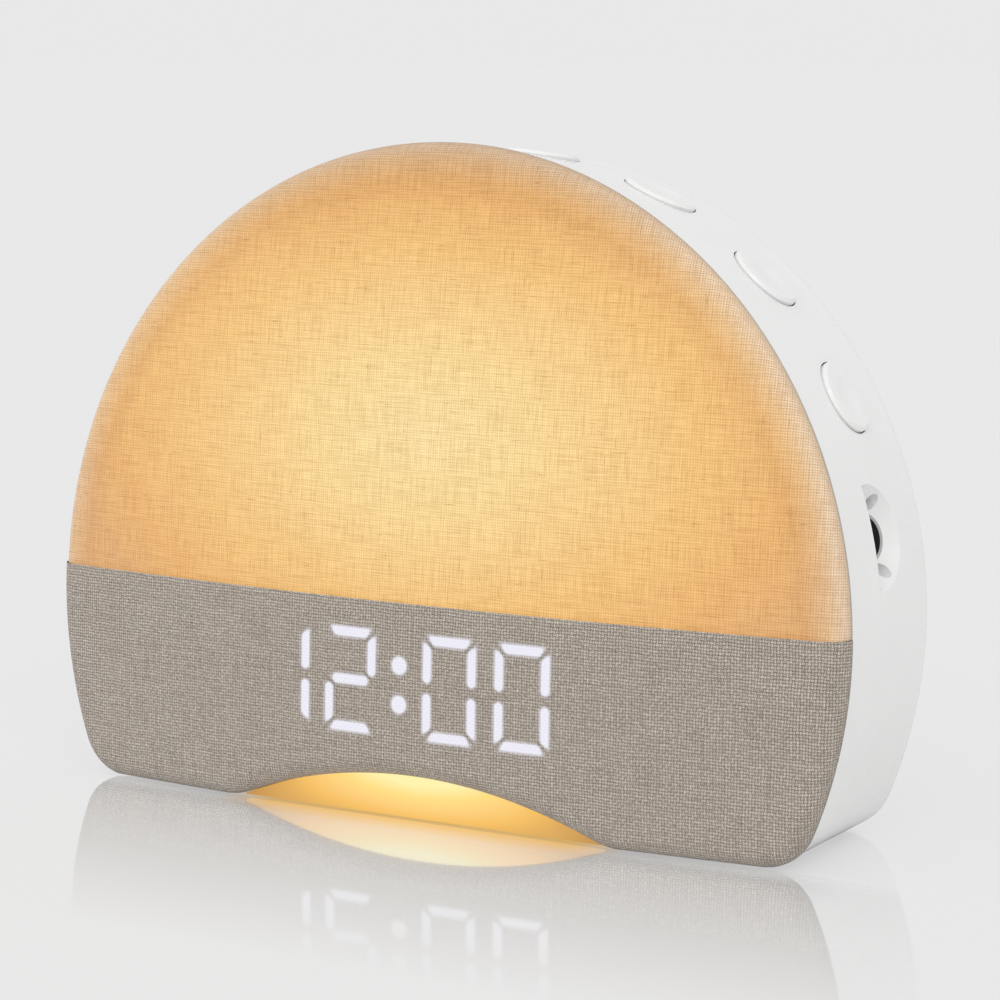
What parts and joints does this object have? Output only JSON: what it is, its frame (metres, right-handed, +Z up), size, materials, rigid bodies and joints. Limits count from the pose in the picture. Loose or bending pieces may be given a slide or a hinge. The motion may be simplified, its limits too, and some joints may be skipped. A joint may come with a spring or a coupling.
{
  "type": "sunrise alarm clock",
  "caption": "Half-moon sunrise alarm clock with a backlit fabric front, a digit display, a night light in the base arch and push buttons round the side.",
  "frame": {"origin": "middle of the lower face of the bounding box, on the surface the clock stands on", "axes": "+X to the right seen from the front, +Y to the rear, +Z up"},
  "size_m": [0.2008, 0.063, 0.1449],
  "materials": {
    "zinc_steel": "zinc plated",
    "dark_sleeve": "dark blue sleeve",
    "black_plastic": "black",
    "natural_plastic": "natural nylon",
    "green_board": "green solder mask",
    "reflector_white": "matt white",
    "white_plastic": "gloss white",
    "light_guide": "lit light guide",
    "white_led": "clear resin",
    "dark_panel": "satin black",
    "ribbon_film": "film",
    "beige_plastic": "satin grey-beige",
    "grey_plastic": "satin grey",
    "white_board": "white solder mask",
    "milky_plastic": "milky translucent",
    "warm_led": "phosphor",
    "grey_weave": "grey-taupe woven cover",
    "amber_lens": "lit milky lens",
    "grey_rubber": "matt",
    "speaker_paper": "black paper",
    "black_foam": "foam",
    "guide_plain": "milky light guide",
    "light_linen": "backlit light linen"
  },
  "bodies": {
    "housing": {"backup_cell": "zinc_steel", "board_capacitors": "dark_sleeve", "board_chips": "black_plastic", "board_connectors": "natural_plastic", "board_screws": "zinc_steel", "button_board_left": "green_board", "button_board_right": "green_board", "button_bracket_left": "reflector_white", "button_bracket_right": "reflector_white", "button_switches": "black_plastic", "cell_holder": "black_plastic", "colon_guides": "light_guide", "display_block": "reflector_white", "display_board": "green_board", "display_leds": "white_led", "display_panel": "dark_panel", "display_ribbon": "ribbon_film", "front_frame": "beige_plastic", "housing_screws": "zinc_steel", "inlet_body": "black_plastic", "inlet_pin": "zinc_steel", "inlet_rim": "grey_plastic", "inlet_screws": "zinc_steel", "light_board": "white_board", "light_diffuser": "milky_plastic", "light_leds": "warm_led", "lit_bar_guides": "light_guide", "lower_fabric": "grey_weave", "main_board": "green_board", "night_light_board": "white_board", "night_light_leds": "warm_led", "night_light_lens": "amber_lens", "rear_housing": "white_plastic", "reflector_tray": "reflector_white", "rubber_feet": "grey_rubber", "speaker_basket": "zinc_steel", "speaker_cone": "speaker_paper", "speaker_gasket": "black_foam", "speaker_magnet": "zinc_steel", "tray_screws": "zinc_steel", "unlit_bar_guides": "guide_plain", "upper_fabric": "light_linen"},
    "button_left_1_key": {"button_left_1": "white_plastic"},
    "button_left_2_key": {"button_left_2": "white_plastic"},
    "button_left_3_key": {"button_left_3": "white_plastic"},
    "button_left_4_key": {"button_left_4": "white_plastic"},
    "button_right_1_key": {"button_right_1": "white_plastic"},
    "button_right_2_key": {"button_right_2": "white_plastic"},
    "button_right_3_key": {"button_right_3": "white_plastic"},
    "button_right_4_key": {"button_right_4": "white_plastic"}
  },
  "joints": [
    {"name": "button_left_1_press", "type": "slide", "parent": "housing", "child": "button_left_1_key", "axis": [0.8626, -0.0883, -0.498], "range_m": [0, 0.0008], "stiffness_N_per_m": 400},
    {"name": "button_left_2_press", "type": "slide", "parent": "housing", "child": "button_left_2_key", "axis": [0.6646, -0.0883, -0.742], "range_m": [0, 0.0008], "stiffness_N_per_m": 400},
    {"name": "button_left_3_press", "type": "slide", "parent": "housing", "child": "button_left_3_key", "axis": [0.4004, -0.0883, -0.9121], "range_m": [0, 0.0008], "stiffness_N_per_m": 400},
    {"name": "button_left_4_press", "type": "slide", "parent": "housing", "child": "button_left_4_key", "axis": [0.0963, -0.0883, -0.9914], "range_m": [0, 0.0008], "stiffness_N_per_m": 400},
    {"name": "button_right_1_press", "type": "slide", "parent": "housing", "child": "button_right_1_key", "axis": [-0.8626, -0.0883, -0.498], "range_m": [0, 0.0008], "stiffness_N_per_m": 400},
    {"name": "button_right_2_press", "type": "slide", "parent": "housing", "child": "button_right_2_key", "axis": [-0.6646, -0.0883, -0.742], "range_m": [0, 0.0008], "stiffness_N_per_m": 400},
    {"name": "button_right_3_press", "type": "slide", "parent": "housing", "child": "button_right_3_key", "axis": [-0.4004, -0.0883, -0.9121], "range_m": [0, 0.0008], "stiffness_N_per_m": 400},
    {"name": "button_right_4_press", "type": "slide", "parent": "housing", "child": "button_right_4_key", "axis": [-0.0963, -0.0883, -0.9914], "range_m": [0, 0.0008], "stiffness_N_per_m": 400}
  ]
}
